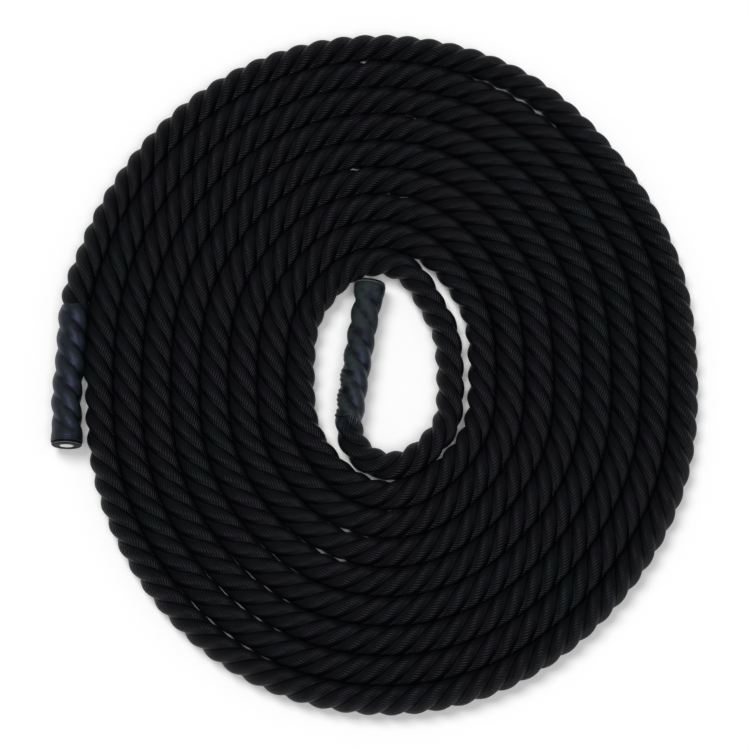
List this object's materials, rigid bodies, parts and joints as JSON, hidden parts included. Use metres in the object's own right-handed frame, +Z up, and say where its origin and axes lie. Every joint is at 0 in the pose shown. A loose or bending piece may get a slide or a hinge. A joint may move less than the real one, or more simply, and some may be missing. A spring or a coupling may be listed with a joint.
{
  "type": "battle rope",
  "caption": "Heavy training rope of thick black twisted strands, laid in a flat spiral coil, with a heat-shrunk grip sleeve and a moulded end cap on each end.",
  "frame": {"origin": "bottom centre of the whole laid-out rope, on the floor", "axes": "+Z up off the floor, +Y along the coil's longer side, with the end of the inner grip towards it, +X across the coil, away from the outer grip"},
  "size_m": [0.8684, 0.9484, 0.0427],
  "materials": {
    "rope": "matt twisted synthetic yarn",
    "sleeve": "satin heat-shrunk polyolefin",
    "cap": "moulded, satin to gloss",
    "disc": "smooth white",
    "tape": "binding tape"
  },
  "bodies": {
    "root": {"rope": "rope", "grip_sleeve_inner": "sleeve", "grip_sleeve_outer": "sleeve", "end_cap_inner": "cap", "end_cap_outer": "cap", "end_disc_inner": "disc", "end_disc_outer": "disc", "end_tape_inner": "tape", "end_tape_outer": "tape"}
  },
  "joints": []
}
